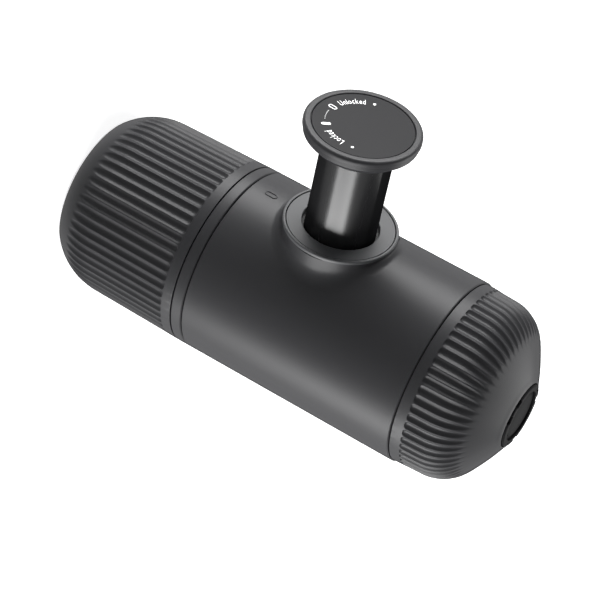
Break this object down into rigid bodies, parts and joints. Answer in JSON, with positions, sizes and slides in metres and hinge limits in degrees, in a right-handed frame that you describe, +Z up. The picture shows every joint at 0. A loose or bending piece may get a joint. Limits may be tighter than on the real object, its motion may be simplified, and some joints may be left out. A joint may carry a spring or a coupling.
{
  "type": "handheld manual espresso maker",
  "caption": "Hand-pumped espresso maker: a capsule-shaped barrel with a push piston on its side, a drinking cup over its water tank and a fluted outlet head.",
  "frame": {"origin": "centre of the drinking cup's flat base", "axes": "+Z up the barrel's axis to the outlet; the piston points to -Y; +X completes the frame"},
  "size_m": [0.0614, 0.1018, 0.156],
  "materials": {
    "shell": "dark grey, fine matte grain",
    "gloss_tube": "polished black",
    "collar": "satin mid grey",
    "dark_disc": "satin near black",
    "chassis": "smooth moulded",
    "bearing": "smooth, natural bearing plastic",
    "valve": "translucent silicone",
    "seal": "matte",
    "stainless": "brushed"
  },
  "bodies": {
    "main": {"main_body": "shell", "collar_ring": "collar", "wiper_seal": "seal", "guide_bush": "bearing", "pump_block": "chassis", "lock_plate": "stainless", "lock_screws": "stainless", "intake_valve": "valve", "delivery_valve": "valve", "air_valve": "valve", "intake_retainer": "chassis", "delivery_retainer": "chassis", "intake_filter": "stainless", "pump_cylinder": "bearing", "cylinder_gasket": "seal", "return_spring": "stainless", "shower_screen": "stainless", "screen_screw": "stainless", "brew_gasket": "seal"},
    "plunger": {"plunger_rod": "stainless", "plunger_head": "bearing", "plunger_seal": "seal", "cap_screw": "stainless"},
    "handle": {"piston_tube": "gloss_tube", "piston_cap": "shell", "cap_disc": "dark_disc"},
    "tank_seal": {"tank_gasket": "seal"},
    "tank": {"water_tank": "shell"},
    "drinking_cup": {"cup": "shell"},
    "basket": {"filter_basket": "stainless"},
    "head": {"outlet_head": "shell", "portafilter": "chassis", "spout": "chassis"},
    "cover": {"outlet_cover": "dark_disc"}
  },
  "joints": [
    {"name": "piston_press", "type": "slide", "parent": "main", "child": "plunger", "axis": [0, 1, 0], "range_m": [0, 0.0308], "stiffness_N_per_m": 300, "springref_m": -0.02, "deforming": ["return_spring"]},
    {"name": "handle_twist", "type": "hinge", "parent": "plunger", "child": "handle", "pos_m": [0, 0, 0.0843], "axis": [0, 1, 0], "range_deg": [0, 46]},
    {"name": "tank_travel", "type": "slide", "parent": "main", "child": "tank_seal", "axis": [0, 0, -1], "range_m": [0, 0.009]},
    {"name": "tank_unscrew", "type": "hinge", "parent": "tank_seal", "child": "tank", "pos_m": [0, 0, 0.057], "axis": [0, 0, -1], "range_deg": [0, 360]},
    {"name": "cup_pull", "type": "slide", "parent": "tank", "child": "drinking_cup", "axis": [0, 0, -1], "range_m": [0, 0.05]},
    {"name": "head_travel", "type": "slide", "parent": "main", "child": "basket", "axis": [0, 0, 1], "range_m": [0, 0.009]},
    {"name": "head_unscrew", "type": "hinge", "parent": "basket", "child": "head", "pos_m": [0, 0, 0.12], "axis": [0, 0, 1], "range_deg": [0, 360]},
    {"name": "cover_pull", "type": "slide", "parent": "head", "child": "cover", "axis": [0, 0, 1], "range_m": [0, 0.01]}
  ],
  "couplings": [
    {"joint": "tank_travel", "follows": "tank_unscrew", "m_per_rad": 0.001432},
    {"joint": "head_travel", "follows": "head_unscrew", "m_per_rad": 0.001432}
  ]
}
